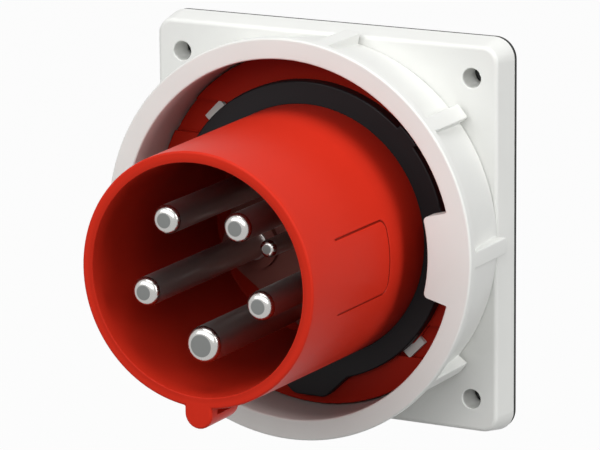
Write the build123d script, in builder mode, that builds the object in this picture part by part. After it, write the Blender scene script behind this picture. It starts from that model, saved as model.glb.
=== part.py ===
import os
from math import cos, degrees, radians, sin, tan

from build123d import *

os.makedirs("parts", exist_ok=True)

# Driving dimensions of a 63 A, five-pole panel inlet, in millimetres and degrees.
# The axis runs along Y, the front faces -Y and +Z is up. The panel face is the plane Y = 0,
# and a depth is a distance from that face towards the front, so what lies behind it is negative.
# Angles are seen from the front, from +X towards +Z.

# Flange and its gasket
gasket_thick = 1.5
gasket_inset = 0.1
flange_width = 108.2
flange_height = 110.8
flange_thick = 8.0
flange_draft = 10.5
flange_corner_r = 6.0
flange_edge_r = 1.2
hole_inset = 9.1
hole_dia = 5.5
hole_edge = 0.2
hub_height = 3.2
hub_width = 8.4

# Bayonet ring
ring_play = 0.3
ring_depth = 23.2
ring_lip_width = 3.9
ring_back_wall = 2.4
ring_neck_wall = 4.6
ring_front_wall = 6.2
ring_band_depth = 5.9
ring_edge_r = 2.0
ring_bore_edge = 0.5
rib_count = 9
rib_width = 4.3
rib_setback = 0.2
rib_end_r = 2.0
lug_reach = 7.2
lug_half_angle = 14.6
lug_thick = 4.2
lug_ramp_angle = 4.0
lug_corner_r = 1.2
ring_travel = 40.0
stop_angle = 90.0
stop_half_angle = 4.0
stop_height = 2.0

# Red sleeve with its base plate and skirt
plate_gap = 0.5
plate_thick = 3.6
plate_edge_r = 0.4
sleeve_length = 66.3
rim_outer_r = 34.8
rim_wall = 3.1
outer_draft = 0.8
inner_draft = 1.1
rim_outer_edge = 0.7
rim_inner_edge = 0.5
floor_thick = 2.5
skirt_step = 2.7
skirt_wall = 3.0
skirt_reach = 8.0
recess_depth = 1.5
recess_low = 23.6
recess_high = 33.3
key_width = 8.2
key_height = 5.8
key_length = 17.0
key_edge_r = 0.6
key_back_r = 3.0
pocket_back = 3.3
pocket_length = 9.0
pocket_skin = 0.2
pocket_thick = 1.8
pocket_inset = 2.2
label_front = 66.5
label_back = 39.5
label_high = 18.5
label_low = -15.2
label_corner_r = 3.0
label_line = 0.5
label_depth = 0.35

# Face seal
seal_thick = 3.6
seal_lug_gap = 1.1
seal_fit = 0.05
seal_edge_r = 0.5
lobe_height = 4.9
lobe_top_half = 12.9
lobe_shoulder = 2.7
lobe_foot_half = 4.9
lobe_corner_r = 3.5
lobe_blend_r = 0.5
tab_height = 1.2
tab_angle = 44.0
tab_half_angle = 4.8

# Latch hooks of the flange
hook_angles = (135.5, -44.5)
hook_seal_gap = -0.3
hook_arm_thick = 1.6
hook_head_thick = 2.7
hook_width = 6.7
hook_head_height = 1.4
hook_clearance = 0.3
hook_pocket = 0.6

# Insulating carrier and terminal block
insert_clearance = 0.3
insert_proud = 1.4
insert_flat_reach = 25.0
insert_flat_turn = -126.0
collar_r = 7.2
collar_height = 1.8
insert_gasket_thick = 1.0
carrier_depth = 7.8
block_length = 35.0
block_edge = 1.0
part_clearance = 0.3

# Contacts
pole_count = 5
pole_circle_r = 18.2
earth_angle = -90.0
phase_r = 4.0
earth_r = 5.0
pilot_r = 2.5
pin_front_gap = 2.0
pilot_length = 26.1
pin_tip_r = 1.7
pilot_tip_r = 1.0
pin_fit = 0.05
shank_step = 0.4
shank_proud = 0.6
shoulder_step = 2.2
shoulder_thick = 2.6
pin_seal_thick = 1.2
head_r = 6.6
pilot_head_r = 4.2
head_clearance = 0.2
head_setback = 1.0
head_wall = 2.35
wire_depth = 20.0
pilot_wire_r = 1.6
pilot_wire_depth = 13.0

# Screws
terminal_screw_r = 3.0
terminal_head_r = 3.9
terminal_head_height = 3.0
terminal_screw_setback = 0.8
terminal_screw_first = 5.5
terminal_screw_pitch = 9.0
pilot_screw_r = 1.5
pilot_screw_length = 6.0
pilot_screw_back = 6.0
pilot_screw_angle = -54.0
wire_gap = 0.2
carrier_screw_r = 1.75
carrier_head_r = 3.1
carrier_head_height = 2.2
carrier_screw_inset = 5.0
carrier_screw_angles = (-126.0, 18.0, 90.0, 162.0)
boss_r = 3.4
boss_height = 4.0
boss_skin = 1.0
housing_screw_r = 1.75
housing_head_r = 3.0
housing_head_height = 2.4
housing_screw_inset = 3.0
housing_screw_angles = (45.0, -135.0)
housing_screw_skin = 0.8
screw_fit = 0.05
head_fit = 0.2
slot_width = 0.9
slot_depth = 1.1

# How far an added feature reaches into the body that it is moulded on, and a cut past a face
root_depth = 1.0

# Square-section seal between hub and base plate
housing_seal_inset = 2.0
housing_seal_width = 1.8
housing_seal_height = 1.6
seal_groove_gap = 0.2

# Depths that follow from the sizes above
flange_front = gasket_thick + flange_thick
plate_back = flange_front + hub_height
plate_front = plate_back + plate_thick
seal_front = plate_front + seal_thick
sleeve_front = plate_front + sleeve_length
floor_back = plate_front - floor_thick
skirt_back = -skirt_reach
insert_front = plate_front + insert_proud
collar_front = insert_front + collar_height
carrier_front = floor_back - insert_gasket_thick
carrier_back = carrier_front - carrier_depth
block_back = carrier_back - block_length
ring_back = flange_front + ring_play
ring_front = ring_back + ring_depth
ring_lip_front = plate_back - ring_play
pin_tip = sleeve_front - pin_front_gap
pilot_tip = insert_front + pilot_length
head_back = block_back + head_setback
shoulder_front = carrier_back + shoulder_thick
recess_floor = plate_front - recess_depth

# Radii and other sizes that follow
rim_inner_r = rim_outer_r - rim_wall
key_reach = rim_outer_r + key_height
skirt_outer_r = rim_outer_r + skirt_step
skirt_bore_r = skirt_outer_r - skirt_wall
carrier_r = skirt_bore_r - part_clearance
carrier_screw_circle_r = carrier_r - carrier_screw_inset
flange_bore_r = skirt_outer_r + part_clearance
hole_spacing = flange_width - 2 * hole_inset
hub_r = flange_bore_r + hub_width
housing_seal_r = flange_bore_r + housing_seal_inset
housing_screw_circle_r = hub_r - housing_screw_inset
ring_lip_r = hub_r + ring_play
ring_bore_r = ring_lip_r + ring_lip_width
ring_back_r = ring_bore_r + ring_back_wall
ring_neck_r = ring_bore_r + ring_neck_wall
ring_front_r = ring_bore_r + ring_front_wall
rib_top_r = ring_front_r - rib_setback
lug_bore_r = ring_bore_r - lug_reach
plate_r = ring_bore_r - plate_gap
seal_outer_r = lug_bore_r - seal_lug_gap
lobe_reach = seal_outer_r + lobe_height
lobe_top_reach = seal_outer_r - lobe_shoulder
tab_reach = seal_outer_r + tab_height
hook_inner_r = seal_outer_r + hook_seal_gap
wire_r = head_r - head_wall
terminal_screw_backs = (terminal_screw_first, terminal_screw_first + terminal_screw_pitch)
floor_bore_r = rim_inner_r - sleeve_length * tan(radians(inner_draft))
sleeve_root_r = rim_outer_r + sleeve_length * tan(radians(outer_draft))
insert_nose_r = floor_bore_r - insert_clearance
phase_angles = tuple(earth_angle + 360 / pole_count * step for step in (1, 2, 3, 4))


def at_depth(depth):
    """Sketch plane at a depth: its x is +X, its y is +Z and its normal points to the front."""
    return Plane.XZ.offset(depth)


def polar(radius, angle):
    """Point of a front-view sketch at a radius and an angle."""
    return (radius * cos(radians(angle)), radius * sin(radians(angle)))


def sleeve_outer(depth):
    """Outer radius of the tapered sleeve at a depth."""
    return rim_outer_r + (sleeve_front - depth) * tan(radians(outer_draft))


def side_plane(angle, depth):
    """Plane through the axis at a depth, whose normal points radially outwards at an angle."""
    x, z = polar(1, angle)
    return Plane(origin=(0, -depth, 0), x_dir=(0, -1, 0), z_dir=(x, 0, z))


def sector(inner_r, outer_r, middle_angle, half_angle):
    """Annular sector drawn into the sketch that is open."""
    with BuildLine() as outline:
        CenterArc((0, 0), outer_r, middle_angle - half_angle, 2 * half_angle)
        CenterArc((0, 0), inner_r, middle_angle - half_angle, 2 * half_angle)
        for angle in (middle_angle - half_angle, middle_angle + half_angle):
            Line(polar(inner_r, angle), polar(outer_r, angle))
    make_face(outline.edges())


def ring_profile(points):
    """Closed profile of (radius, depth) points, drawn in the half plane of +X."""
    with BuildLine() as outline:
        Polyline(*[(r, -depth) for r, depth in points], close=True)
    make_face(outline.edges())


def flat_places(reach, breadth):
    """Places of the five flats between the poles, for squares of a breadth lying beyond them."""
    turns = [insert_flat_turn + step * 360 / pole_count for step in range(pole_count)]
    return [Location((*polar(reach + breadth / 2, turn), 0), (0, 0, turn)) for turn in turns]


def hook_place(thickness, angle):
    """Middle of a latch hook's section of a radial thickness, turned to the hook's angle."""
    return Location((*polar(hook_inner_r + thickness / 2, angle), 0), (0, 0, angle))


# Black gasket between the flange and the panel
def make_flange_gasket():
    with BuildPart() as gasket:
        with BuildSketch(at_depth(0)):
            trim = 2 * gasket_inset
            RectangleRounded(flange_width - trim, flange_height - trim, flange_corner_r)
            Circle(flange_bore_r + head_clearance, mode=Mode.SUBTRACT)
            with GridLocations(hole_spacing, hole_spacing, 2, 2):
                Circle(hole_dia / 2, mode=Mode.SUBTRACT)
        extrude(amount=gasket_thick)
    return gasket.part


# Moulded flange: drafted plate, hub that centres the ring, travel stop, two latch hooks
def make_mounting_flange():
    pocket_width = hook_width + 2 * hook_pocket
    with BuildPart() as flange:
        with BuildSketch(at_depth(gasket_thick)):
            RectangleRounded(flange_width, flange_height, flange_corner_r)
        extrude(amount=flange_thick, taper=flange_draft)
        fillet(flange.faces().sort_by(Axis.Y)[0].edges(), flange_edge_r)
        with BuildSketch(at_depth(flange_front)):
            Circle(hub_r)
            sector(hub_r - root_depth, hub_r + stop_height, stop_angle, stop_half_angle)
        extrude(amount=hub_height)
        with BuildSketch(at_depth(gasket_thick)):
            Circle(flange_bore_r)
            with GridLocations(hole_spacing, hole_spacing, 2, 2):
                Circle(hole_dia / 2)
        extrude(amount=flange_thick + hub_height, mode=Mode.SUBTRACT)
        mouths = flange.edges().filter_by(GeomType.CIRCLE).filter_by(
            lambda e: abs(e.radius - hole_dia / 2) < 0.01 and abs(e.center().Y + flange_front) < 0.01
        )
        chamfer(mouths, hole_edge)

        # Groove for the seal under the base plate
        with BuildSketch(at_depth(plate_back)):
            half = housing_seal_width / 2 + seal_groove_gap
            Circle(housing_seal_r + half)
            Circle(housing_seal_r - half, mode=Mode.SUBTRACT)
        extrude(amount=-housing_seal_height, mode=Mode.SUBTRACT)

        # Pockets that free the latch hooks, then the hooks with their outward heads
        for angle in hook_angles:
            with BuildSketch(at_depth(flange_front)):
                with Locations(Location((*polar(hub_r, angle), 0), (0, 0, angle))):
                    Rectangle(2 * (hub_r - hook_inner_r + hook_pocket), pocket_width)
            extrude(amount=hub_height, mode=Mode.SUBTRACT)
            with BuildSketch(at_depth(flange_front)):
                with Locations(hook_place(hook_arm_thick, angle)):
                    Rectangle(hook_arm_thick, hook_width)
            extrude(amount=recess_floor - flange_front)
            with BuildSketch(at_depth(recess_floor)):
                with Locations(hook_place(hook_head_thick, angle)):
                    Rectangle(hook_head_thick, hook_width)
            extrude(amount=hook_head_height)

        # Screw holes from behind, with counterbores for the heads
        with BuildSketch(at_depth(gasket_thick)):
            for angle in housing_screw_angles:
                with Locations(polar(housing_screw_circle_r, angle)):
                    Circle(housing_head_r + head_fit)
        extrude(amount=housing_head_height + head_fit, mode=Mode.SUBTRACT)
        with BuildSketch(at_depth(gasket_thick)):
            for angle in housing_screw_angles:
                with Locations(polar(housing_screw_circle_r, angle)):
                    Circle(housing_screw_r + screw_fit)
        extrude(amount=flange_thick + hub_height, mode=Mode.SUBTRACT)
    return flange.part


# Bayonet lug whose sloping rear face draws the mating half tight as the ring turns
def make_lug(turn):
    slope_rise = ring_bore_r * sin(radians(lug_half_angle)) * tan(radians(lug_ramp_angle))
    with BuildPart() as lug:
        with BuildSketch(at_depth(ring_front)) as outline:
            sector(lug_bore_r, ring_bore_r + root_depth, turn, lug_half_angle)
            fillet(outline.vertices().group_by(lambda v: round(Vector(v).length, 3))[0], lug_corner_r)
        extrude(amount=-(lug_thick + slope_rise))
        x, z = polar(1, turn)
        lean = radians(lug_ramp_angle)
        slope = Plane(
            origin=(0, -(ring_front - lug_thick), 0),
            x_dir=(x, 0, z),
            z_dir=(-z * sin(lean), -cos(lean), x * sin(lean)),
        )
        split(bisect_by=slope, keep=Keep.TOP)
    return lug.part


# Bayonet ring: turned section, grip ribs, two lugs and a notch for the travel stop
def make_bayonet_ring():
    lugs = [make_lug(turn) for turn in (0, 180)]
    with BuildPart() as ring:
        with BuildSketch(Plane.XY):
            with BuildLine():
                front_flat_r = ring_front_r - ring_edge_r
                band_back = ring_front - ring_band_depth
                Polyline(
                    (front_flat_r, -ring_front),
                    (ring_bore_r + ring_bore_edge, -ring_front),
                    (ring_bore_r, -(ring_front - ring_bore_edge)),
                    (ring_bore_r, -ring_lip_front),
                    (ring_lip_r, -ring_lip_front),
                    (ring_lip_r, -ring_back),
                    (ring_back_r, -ring_back),
                    (ring_neck_r, -(band_back - (ring_front_r - ring_neck_r))),
                    (ring_front_r, -band_back),
                    (ring_front_r, -(ring_front - ring_edge_r)),
                )
                CenterArc((front_flat_r, -(ring_front - ring_edge_r)), ring_edge_r, 0, -90)
            make_face()
        revolve(axis=Axis.Y)

        # Grip ribs with rounded rear ends
        rib_root_r = (ring_bore_r + ring_back_r) / 2
        for step in range(rib_count):
            angle = step * 360 / rib_count
            with BuildSketch(side_plane(angle, ring_back).offset(rib_root_r)):
                with BuildLine():
                    length = ring_depth - ring_edge_r
                    half = rib_width / 2
                    Polyline(
                        (rib_end_r, half), (length, half), (length, -half), (rib_end_r, -half)
                    )
                    ThreePointArc((rib_end_r, -half), (0, 0), (rib_end_r, half))
                make_face()
            extrude(amount=rib_top_r - rib_root_r)

        # Bayonet lugs, flush with the front
        for lug in lugs:
            add(lug)

        # Notch in the rear lip that the flange's stop runs in
        with BuildSketch(at_depth(ring_back)):
            half = stop_half_angle + ring_travel / 2 + degrees(ring_play / (hub_r + stop_height))
            sector(ring_lip_r - root_depth, ring_lip_r + stop_height, stop_angle + ring_travel / 2, half)
        extrude(amount=ring_lip_front - ring_back, mode=Mode.SUBTRACT)
    return ring.part


# Key of the sleeve: full-round foot and rounded rear end
def make_key():
    foot_r = key_width / 2
    foot_centre = key_reach - foot_r
    root = (rim_inner_r + rim_outer_r) / 2
    with BuildPart() as key:
        with BuildSketch(at_depth(sleeve_front)):
            with Locations((0, -foot_centre)):
                Circle(foot_r)
            with Locations((0, -(foot_centre + root) / 2)):
                Rectangle(key_width, foot_centre - root)
        extrude(amount=-key_length)
        fillet(key.faces().sort_by(Axis.Y)[-1].edges(), key_back_r)
        fillet(key.faces().sort_by(Axis.Y)[0].edges(), key_edge_r)
    return key.part


# Fine groove that outlines the bare label field on the sleeve's right, open towards the front
def make_label_groove():
    middle_r = (sleeve_outer(label_front) + sleeve_outer(label_back)) / 2
    high = middle_r * sin(radians(label_high))
    low = middle_r * sin(radians(label_low))
    with BuildPart() as groove:
        with BuildSketch(Plane.YZ):
            with BuildLine() as line:
                FilletPolyline((-label_front, high), (-label_back, high), (-label_back, low),
                               (-label_front, low), radius=label_corner_r)
            trace(line.edges(), line_width=label_line)
        extrude(amount=2 * rim_outer_r)
        with BuildSketch(Plane.XY):
            ring_profile([
                (rim_outer_r - label_depth, sleeve_front),
                (sleeve_root_r - label_depth, plate_front),
                (2 * rim_outer_r, plate_front), (2 * rim_outer_r, sleeve_front),
            ])
        revolve(axis=Axis.Y, mode=Mode.INTERSECT)
    return groove.part


# Red sleeve, moulded in one with its base plate, floor, skirt and screw bosses
def make_inlet_sleeve():
    key = make_key()
    label_groove = make_label_groove()
    with BuildPart() as sleeve:
        with BuildSketch(Plane.XY):
            ring_profile([
                (skirt_bore_r, skirt_back), (skirt_outer_r, skirt_back), (skirt_outer_r, plate_back),
                (plate_r, plate_back), (plate_r, plate_front), (sleeve_root_r, plate_front),
                (rim_outer_r, sleeve_front), (rim_inner_r, sleeve_front),
                (floor_bore_r, plate_front), (floor_bore_r, floor_back), (skirt_bore_r, floor_back),
            ])
        revolve(axis=Axis.Y)
        rings = sleeve.edges().filter_by(GeomType.CIRCLE)
        fillet(rings.filter_by(lambda e: abs(e.center().Y + plate_front) < 0.01
                               and abs(e.radius - plate_r) < 0.01), plate_edge_r)
        fillet(rings.filter_by(lambda e: abs(e.center().Y + sleeve_front) < 0.01
                               and abs(e.radius - rim_outer_r) < 0.01), rim_outer_edge)
        chamfer(rings.filter_by(lambda e: abs(e.center().Y + sleeve_front) < 0.01
                                and abs(e.radius - rim_inner_r) < 0.01), rim_inner_edge)

        # Floor beyond the flats of the insert
        with BuildSketch(at_depth(floor_back)):
            with Locations(*flat_places(insert_flat_reach + insert_clearance, floor_bore_r)):
                Rectangle(floor_bore_r, 2 * floor_bore_r)
            Circle(floor_bore_r + root_depth, mode=Mode.INTERSECT)
        extrude(amount=floor_thick)

        # Blind bosses behind the floor for the carrier screws
        with BuildSketch(at_depth(floor_back)):
            for angle in carrier_screw_angles:
                with Locations(polar(carrier_screw_circle_r, angle)):
                    Circle(boss_r)
        extrude(amount=-boss_height)
        with BuildSketch(at_depth(floor_back - boss_height)):
            for angle in carrier_screw_angles:
                with Locations(polar(carrier_screw_circle_r, angle)):
                    Circle(carrier_screw_r + screw_fit)
        extrude(amount=boss_height + floor_thick - boss_skin, mode=Mode.SUBTRACT)

        # Recessed pads and windows for the latch hooks, blind holes for the housing screws
        window_width = hook_width + 2 * hook_clearance
        for angle in hook_angles:
            side = 1 if cos(radians(angle)) > 0 else -1
            middle = (side * plate_r, -side * (recess_low + recess_high) / 2)
            with BuildSketch(at_depth(recess_floor)):
                with Locations(middle):
                    Rectangle(plate_r, recess_high - recess_low)
                Circle(seal_outer_r + hook_clearance, mode=Mode.SUBTRACT)
                with Locations(hook_place(hook_head_thick, angle)):
                    Rectangle(hook_head_thick + 2 * hook_clearance, window_width)
            extrude(amount=recess_depth, mode=Mode.SUBTRACT)
            with BuildSketch(at_depth(plate_back)):
                with Locations(hook_place(hook_arm_thick, angle)):
                    Rectangle(hook_arm_thick + 2 * hook_clearance, window_width)
            extrude(amount=plate_thick, mode=Mode.SUBTRACT)
        with BuildSketch(at_depth(plate_back)):
            for angle in housing_screw_angles:
                with Locations(polar(housing_screw_circle_r, angle)):
                    Circle(housing_screw_r + screw_fit)
        extrude(amount=plate_thick - housing_screw_skin, mode=Mode.SUBTRACT)

        # Key under the rim, with a pocket in each flank
        add(key)
        with BuildSketch(at_depth(sleeve_front - pocket_back)):
            for side in (-1, 1):
                with Locations((side * key_width / 2, -(rim_outer_r + pocket_skin + pocket_thick / 2))):
                    Rectangle(2 * pocket_inset, pocket_thick)
        extrude(amount=-pocket_length, mode=Mode.SUBTRACT)

        add(label_groove, mode=Mode.SUBTRACT)
    return sleeve.part


# Black face seal that lies on the base plate round the sleeve
def make_face_seal():
    lobe_root = lobe_top_reach - (seal_outer_r - sleeve_root_r)
    with BuildPart() as seal:
        with BuildSketch(at_depth(plate_front)):
            Circle(seal_outer_r)
            with BuildLine():
                FilletPolyline((lobe_top_half, -lobe_root), (lobe_top_half, -lobe_top_reach),
                               (lobe_foot_half, -lobe_reach), (-lobe_foot_half, -lobe_reach),
                               (-lobe_top_half, -lobe_top_reach), (-lobe_top_half, -lobe_root),
                               radius=(lobe_blend_r, lobe_corner_r, lobe_corner_r, lobe_blend_r))
                Line((lobe_top_half, -lobe_root), (-lobe_top_half, -lobe_root))
            make_face()
            sector(seal_outer_r - root_depth, tab_reach, tab_angle, tab_half_angle)
            Circle(sleeve_root_r + seal_fit, mode=Mode.SUBTRACT)
        extrude(amount=seal_thick)
        fillet(seal.faces().sort_by(Axis.Y)[0].outer_wire().edges(), seal_edge_r)
    return seal.part


def ring_body(inner_r, outer_r, depth, thickness):
    """Flat ring round the axis."""
    with BuildPart() as ring:
        with BuildSketch(at_depth(depth)):
            Circle(outer_r)
            Circle(inner_r, mode=Mode.SUBTRACT)
        extrude(amount=thickness)
    return ring.part


# Seal in the hub's groove, pressed by the base plate
def make_housing_seal():
    half = housing_seal_width / 2
    return ring_body(housing_seal_r - half, housing_seal_r + half,
                     plate_back - housing_seal_height, housing_seal_height)


# Gasket between the carrier and the back of the floor, notched round the bosses
def make_insert_gasket():
    with BuildPart() as gasket:
        with BuildSketch(at_depth(carrier_front)):
            Circle(carrier_r)
            Circle(floor_bore_r + insert_clearance, mode=Mode.SUBTRACT)
            for angle in carrier_screw_angles:
                with Locations(polar(carrier_screw_circle_r, angle)):
                    Circle(boss_r + part_clearance, mode=Mode.SUBTRACT)
        extrude(amount=insert_gasket_thick)
    return gasket.part


# Front half of the insulator: nose with five flats, a collar round each pin
def make_contact_carrier():
    with BuildPart() as carrier:
        with BuildSketch(at_depth(carrier_back)):
            Circle(carrier_r)
        extrude(amount=carrier_depth)
        with BuildSketch(at_depth(carrier_front)):
            Circle(insert_nose_r)
            with Locations(*flat_places(insert_flat_reach, insert_nose_r)):
                Rectangle(insert_nose_r, 2 * insert_nose_r, mode=Mode.SUBTRACT)
        extrude(amount=insert_front - carrier_front)
        with BuildSketch(at_depth(insert_front)):
            for angle in (earth_angle, *phase_angles):
                with Locations(polar(pole_circle_r, angle)):
                    Circle(collar_r)
        extrude(amount=collar_height)
        for angle, pin_r in pin_places():
            centre = polar(pole_circle_r if angle is not None else 0, angle or 0)
            with BuildSketch(at_depth(carrier_back)):
                with Locations(centre):
                    Circle(pin_r + shank_step + pin_fit)
            extrude(amount=collar_front - carrier_back, mode=Mode.SUBTRACT)
            with BuildSketch(at_depth(carrier_back)):
                with Locations(centre):
                    Circle(pin_r + shoulder_step + head_clearance)
            extrude(amount=shoulder_thick + pin_seal_thick, mode=Mode.SUBTRACT)
        with BuildSketch(at_depth(carrier_back)):
            for angle in carrier_screw_angles:
                with Locations(polar(carrier_screw_circle_r, angle)):
                    Circle(carrier_screw_r + head_fit)
        extrude(amount=carrier_depth, mode=Mode.SUBTRACT)
        with BuildSketch(at_depth(carrier_front)):
            for angle in carrier_screw_angles:
                with Locations(polar(carrier_screw_circle_r, angle)):
                    Circle(boss_r + part_clearance)
        extrude(amount=-boss_height, mode=Mode.SUBTRACT)
    return carrier.part


def pin_places():
    """Angle and radius of every pin; the pilot on the axis has no angle."""
    return [(earth_angle, earth_r), (None, pilot_r)] + [(angle, phase_r) for angle in phase_angles]


# Rear half of the insulator: chambers for the terminals, screw holes from the side
def make_terminal_block():
    with BuildPart() as block:
        with BuildSketch(at_depth(block_back)):
            Circle(carrier_r)
        extrude(amount=block_length)
        chamfer(block.faces().sort_by(Axis.Y)[-1].edges(), block_edge)
        with BuildSketch(at_depth(block_back)):
            for angle in (earth_angle, *phase_angles):
                with Locations(polar(pole_circle_r, angle)):
                    Circle(head_r + head_clearance)
            Circle(pilot_head_r + head_clearance)
        extrude(amount=block_length, mode=Mode.SUBTRACT)
        for angle in (earth_angle, *phase_angles):
            for back in terminal_screw_backs:
                plane = side_plane(angle, head_back + back)
                with BuildSketch(plane.offset(pole_circle_r)):
                    Circle(terminal_head_r + head_fit)
                extrude(amount=carrier_r, mode=Mode.SUBTRACT)
        with BuildSketch(side_plane(pilot_screw_angle, head_back + pilot_screw_back)):
            Circle(pilot_screw_r + head_fit)
        extrude(amount=carrier_r + root_depth, mode=Mode.SUBTRACT)
        with BuildSketch(at_depth(block_back)):
            for angle in carrier_screw_angles:
                with Locations(polar(carrier_screw_circle_r, angle)):
                    Circle(carrier_screw_r + head_fit)
        extrude(amount=block_length, mode=Mode.SUBTRACT)
        with BuildSketch(at_depth(block_back)):
            for angle in carrier_screw_angles:
                with Locations(polar(carrier_screw_circle_r, angle)):
                    Circle(carrier_head_r + head_fit)
        extrude(amount=carrier_head_height + head_setback, mode=Mode.SUBTRACT)
    return block.part


def make_pin(reach, angle, pin_r, seat, tip, tip_r, rear_r, bore_r, bore_depth, screw_r, backs):
    """Turned contact: rounded pin, thicker shank up to its seat in the carrier's face, shoulder,
    and a bored terminal head with screw holes."""
    centre = polar(reach, angle)
    with BuildPart() as pin:
        with BuildSketch(at_depth(carrier_back)):
            with Locations(centre):
                Circle(pin_r)
        extrude(amount=tip - carrier_back)
        fillet(pin.faces().sort_by(Axis.Y)[0].edges(), tip_r)
        with BuildSketch(at_depth(carrier_back)):
            with Locations(centre):
                Circle(pin_r + shank_step)
        extrude(amount=seat + shank_proud - carrier_back)
        with BuildSketch(at_depth(carrier_back)):
            with Locations(centre):
                Circle(pin_r + shoulder_step)
        extrude(amount=shoulder_thick)
        with BuildSketch(at_depth(head_back)):
            with Locations(centre):
                Circle(rear_r)
        extrude(amount=carrier_back - head_back)
        with BuildSketch(at_depth(head_back)):
            with Locations(centre):
                Circle(bore_r)
        extrude(amount=bore_depth, mode=Mode.SUBTRACT)
        for back in backs:
            with BuildSketch(side_plane(angle, head_back + back).offset(reach)):
                Circle(screw_r + screw_fit)
            extrude(amount=rear_r + root_depth, mode=Mode.SUBTRACT)
    return pin.part


def make_power_pin(angle, pin_r):
    return make_pin(pole_circle_r, angle, pin_r, collar_front, pin_tip, pin_tip_r, head_r, wire_r,
                    wire_depth, terminal_screw_r, terminal_screw_backs)


def make_pilot_pin():
    return make_pin(0, pilot_screw_angle, pilot_r, insert_front, pilot_tip, pilot_tip_r, pilot_head_r,
                    pilot_wire_r, pilot_wire_depth, pilot_screw_r, (pilot_screw_back,))


# Rubber washer between a pin's shoulder and the carrier
def make_pin_seals(places):
    with BuildPart() as seals:
        with BuildSketch(at_depth(shoulder_front)):
            for angle, pin_r in places:
                with Locations(polar(pole_circle_r if angle is not None else 0, angle or 0)):
                    Circle(pin_r + shoulder_step)
                    Circle(pin_r + shank_step + pin_fit, mode=Mode.SUBTRACT)
        extrude(amount=pin_seal_thick)
    return seals.part


def slotted_screw(plane, centre, shank_r, shank_length, round_head_r, head_height):
    """Screw whose shank starts in the plane and runs along its normal, up to a slotted head."""
    with BuildPart() as screw:
        with BuildSketch(plane):
            with Locations(centre):
                Circle(shank_r)
        extrude(amount=shank_length)
        with BuildSketch(plane.offset(shank_length)):
            with Locations(centre):
                Circle(round_head_r)
        extrude(amount=head_height)
        with BuildSketch(plane.offset(shank_length + head_height)):
            with Locations(centre):
                Rectangle(2 * (round_head_r + root_depth), slot_width)
        extrude(amount=-min(slot_depth, head_height / 2), mode=Mode.SUBTRACT)
    return screw.part


# Ten slotted screws that clamp the wires, two in each terminal, turned in from the side
def make_terminal_screws():
    start = pole_circle_r + wire_r + wire_gap
    shank = carrier_r - terminal_screw_setback - terminal_head_height - start
    with BuildPart() as screws:
        for angle in (earth_angle, *phase_angles):
            for back in terminal_screw_backs:
                plane = side_plane(angle, head_back + back).offset(start)
                add(slotted_screw(plane, (0, 0), terminal_screw_r, shank, terminal_head_r,
                                  terminal_head_height))
    return screws.part


# Headless screw of the pilot terminal
def make_pilot_screw():
    with BuildPart() as screw:
        start = side_plane(pilot_screw_angle, head_back + pilot_screw_back)
        start = start.offset(pilot_wire_r + wire_gap)
        with BuildSketch(start):
            Circle(pilot_screw_r)
        extrude(amount=pilot_screw_length)
        with BuildSketch(start.offset(pilot_screw_length)):
            Rectangle(2 * (pilot_screw_r + root_depth), slot_width / 2)
        extrude(amount=-slot_depth / 2, mode=Mode.SUBTRACT)
    return screw.part


def rearward(depth):
    """Sketch plane at a depth whose normal points to the rear and whose x is +X."""
    return Plane(origin=(0, -depth, 0), x_dir=(1, 0, 0), z_dir=(0, 1, 0))


# Four long screws through both halves of the insulator into the bosses of the sleeve
def make_carrier_screws():
    tip = plate_front - boss_skin - part_clearance
    head_seat = block_back + head_setback + carrier_head_height
    with BuildPart() as screws:
        for angle in carrier_screw_angles:
            x, z = polar(carrier_screw_circle_r, angle)
            add(slotted_screw(rearward(tip), (x, -z), carrier_screw_r, tip - head_seat,
                              carrier_head_r, carrier_head_height))
    return screws.part


# Two screws from behind the flange into the base plate
def make_housing_screws():
    tip = plate_front - housing_screw_skin - part_clearance
    head_seat = gasket_thick + head_fit + housing_head_height
    with BuildPart() as screws:
        for angle in housing_screw_angles:
            x, z = polar(housing_screw_circle_r, angle)
            add(slotted_screw(rearward(tip), (x, -z), housing_screw_r, tip - head_seat,
                              housing_head_r, housing_head_height))
    return screws.part


pieces = {
    "flange_gasket": make_flange_gasket(),
    "mounting_flange": make_mounting_flange(),
    "bayonet_ring": make_bayonet_ring(),
    "inlet_sleeve": make_inlet_sleeve(),
    "face_seal": make_face_seal(),
    "housing_seal": make_housing_seal(),
    "insert_gasket": make_insert_gasket(),
    "contact_carrier": make_contact_carrier(),
    "terminal_block": make_terminal_block(),
    "pin_earth": make_power_pin(earth_angle, earth_r),
    "pin_neutral": make_power_pin(phase_angles[3], phase_r),
    "pin_l1": make_power_pin(phase_angles[2], phase_r),
    "pin_l2": make_power_pin(phase_angles[1], phase_r),
    "pin_l3": make_power_pin(phase_angles[0], phase_r),
    "pin_pilot": make_pilot_pin(),
    "phase_pin_seals": make_pin_seals([(angle, phase_r) for angle in phase_angles]),
    "earth_pin_seal": make_pin_seals([(earth_angle, earth_r)]),
    "pilot_pin_seal": make_pin_seals([(None, pilot_r)]),
    "terminal_screws": make_terminal_screws(),
    "pilot_screw": make_pilot_screw(),
    "carrier_screws": make_carrier_screws(),
    "housing_screws": make_housing_screws(),
}

for name, part in pieces.items():
    part.label = name
    export_step(part, f"parts/{name}.step")
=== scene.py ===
from math import cos, radians, sin, tan

import bmesh
import bpy
import numpy as np
from mathutils import Matrix, Vector


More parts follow.
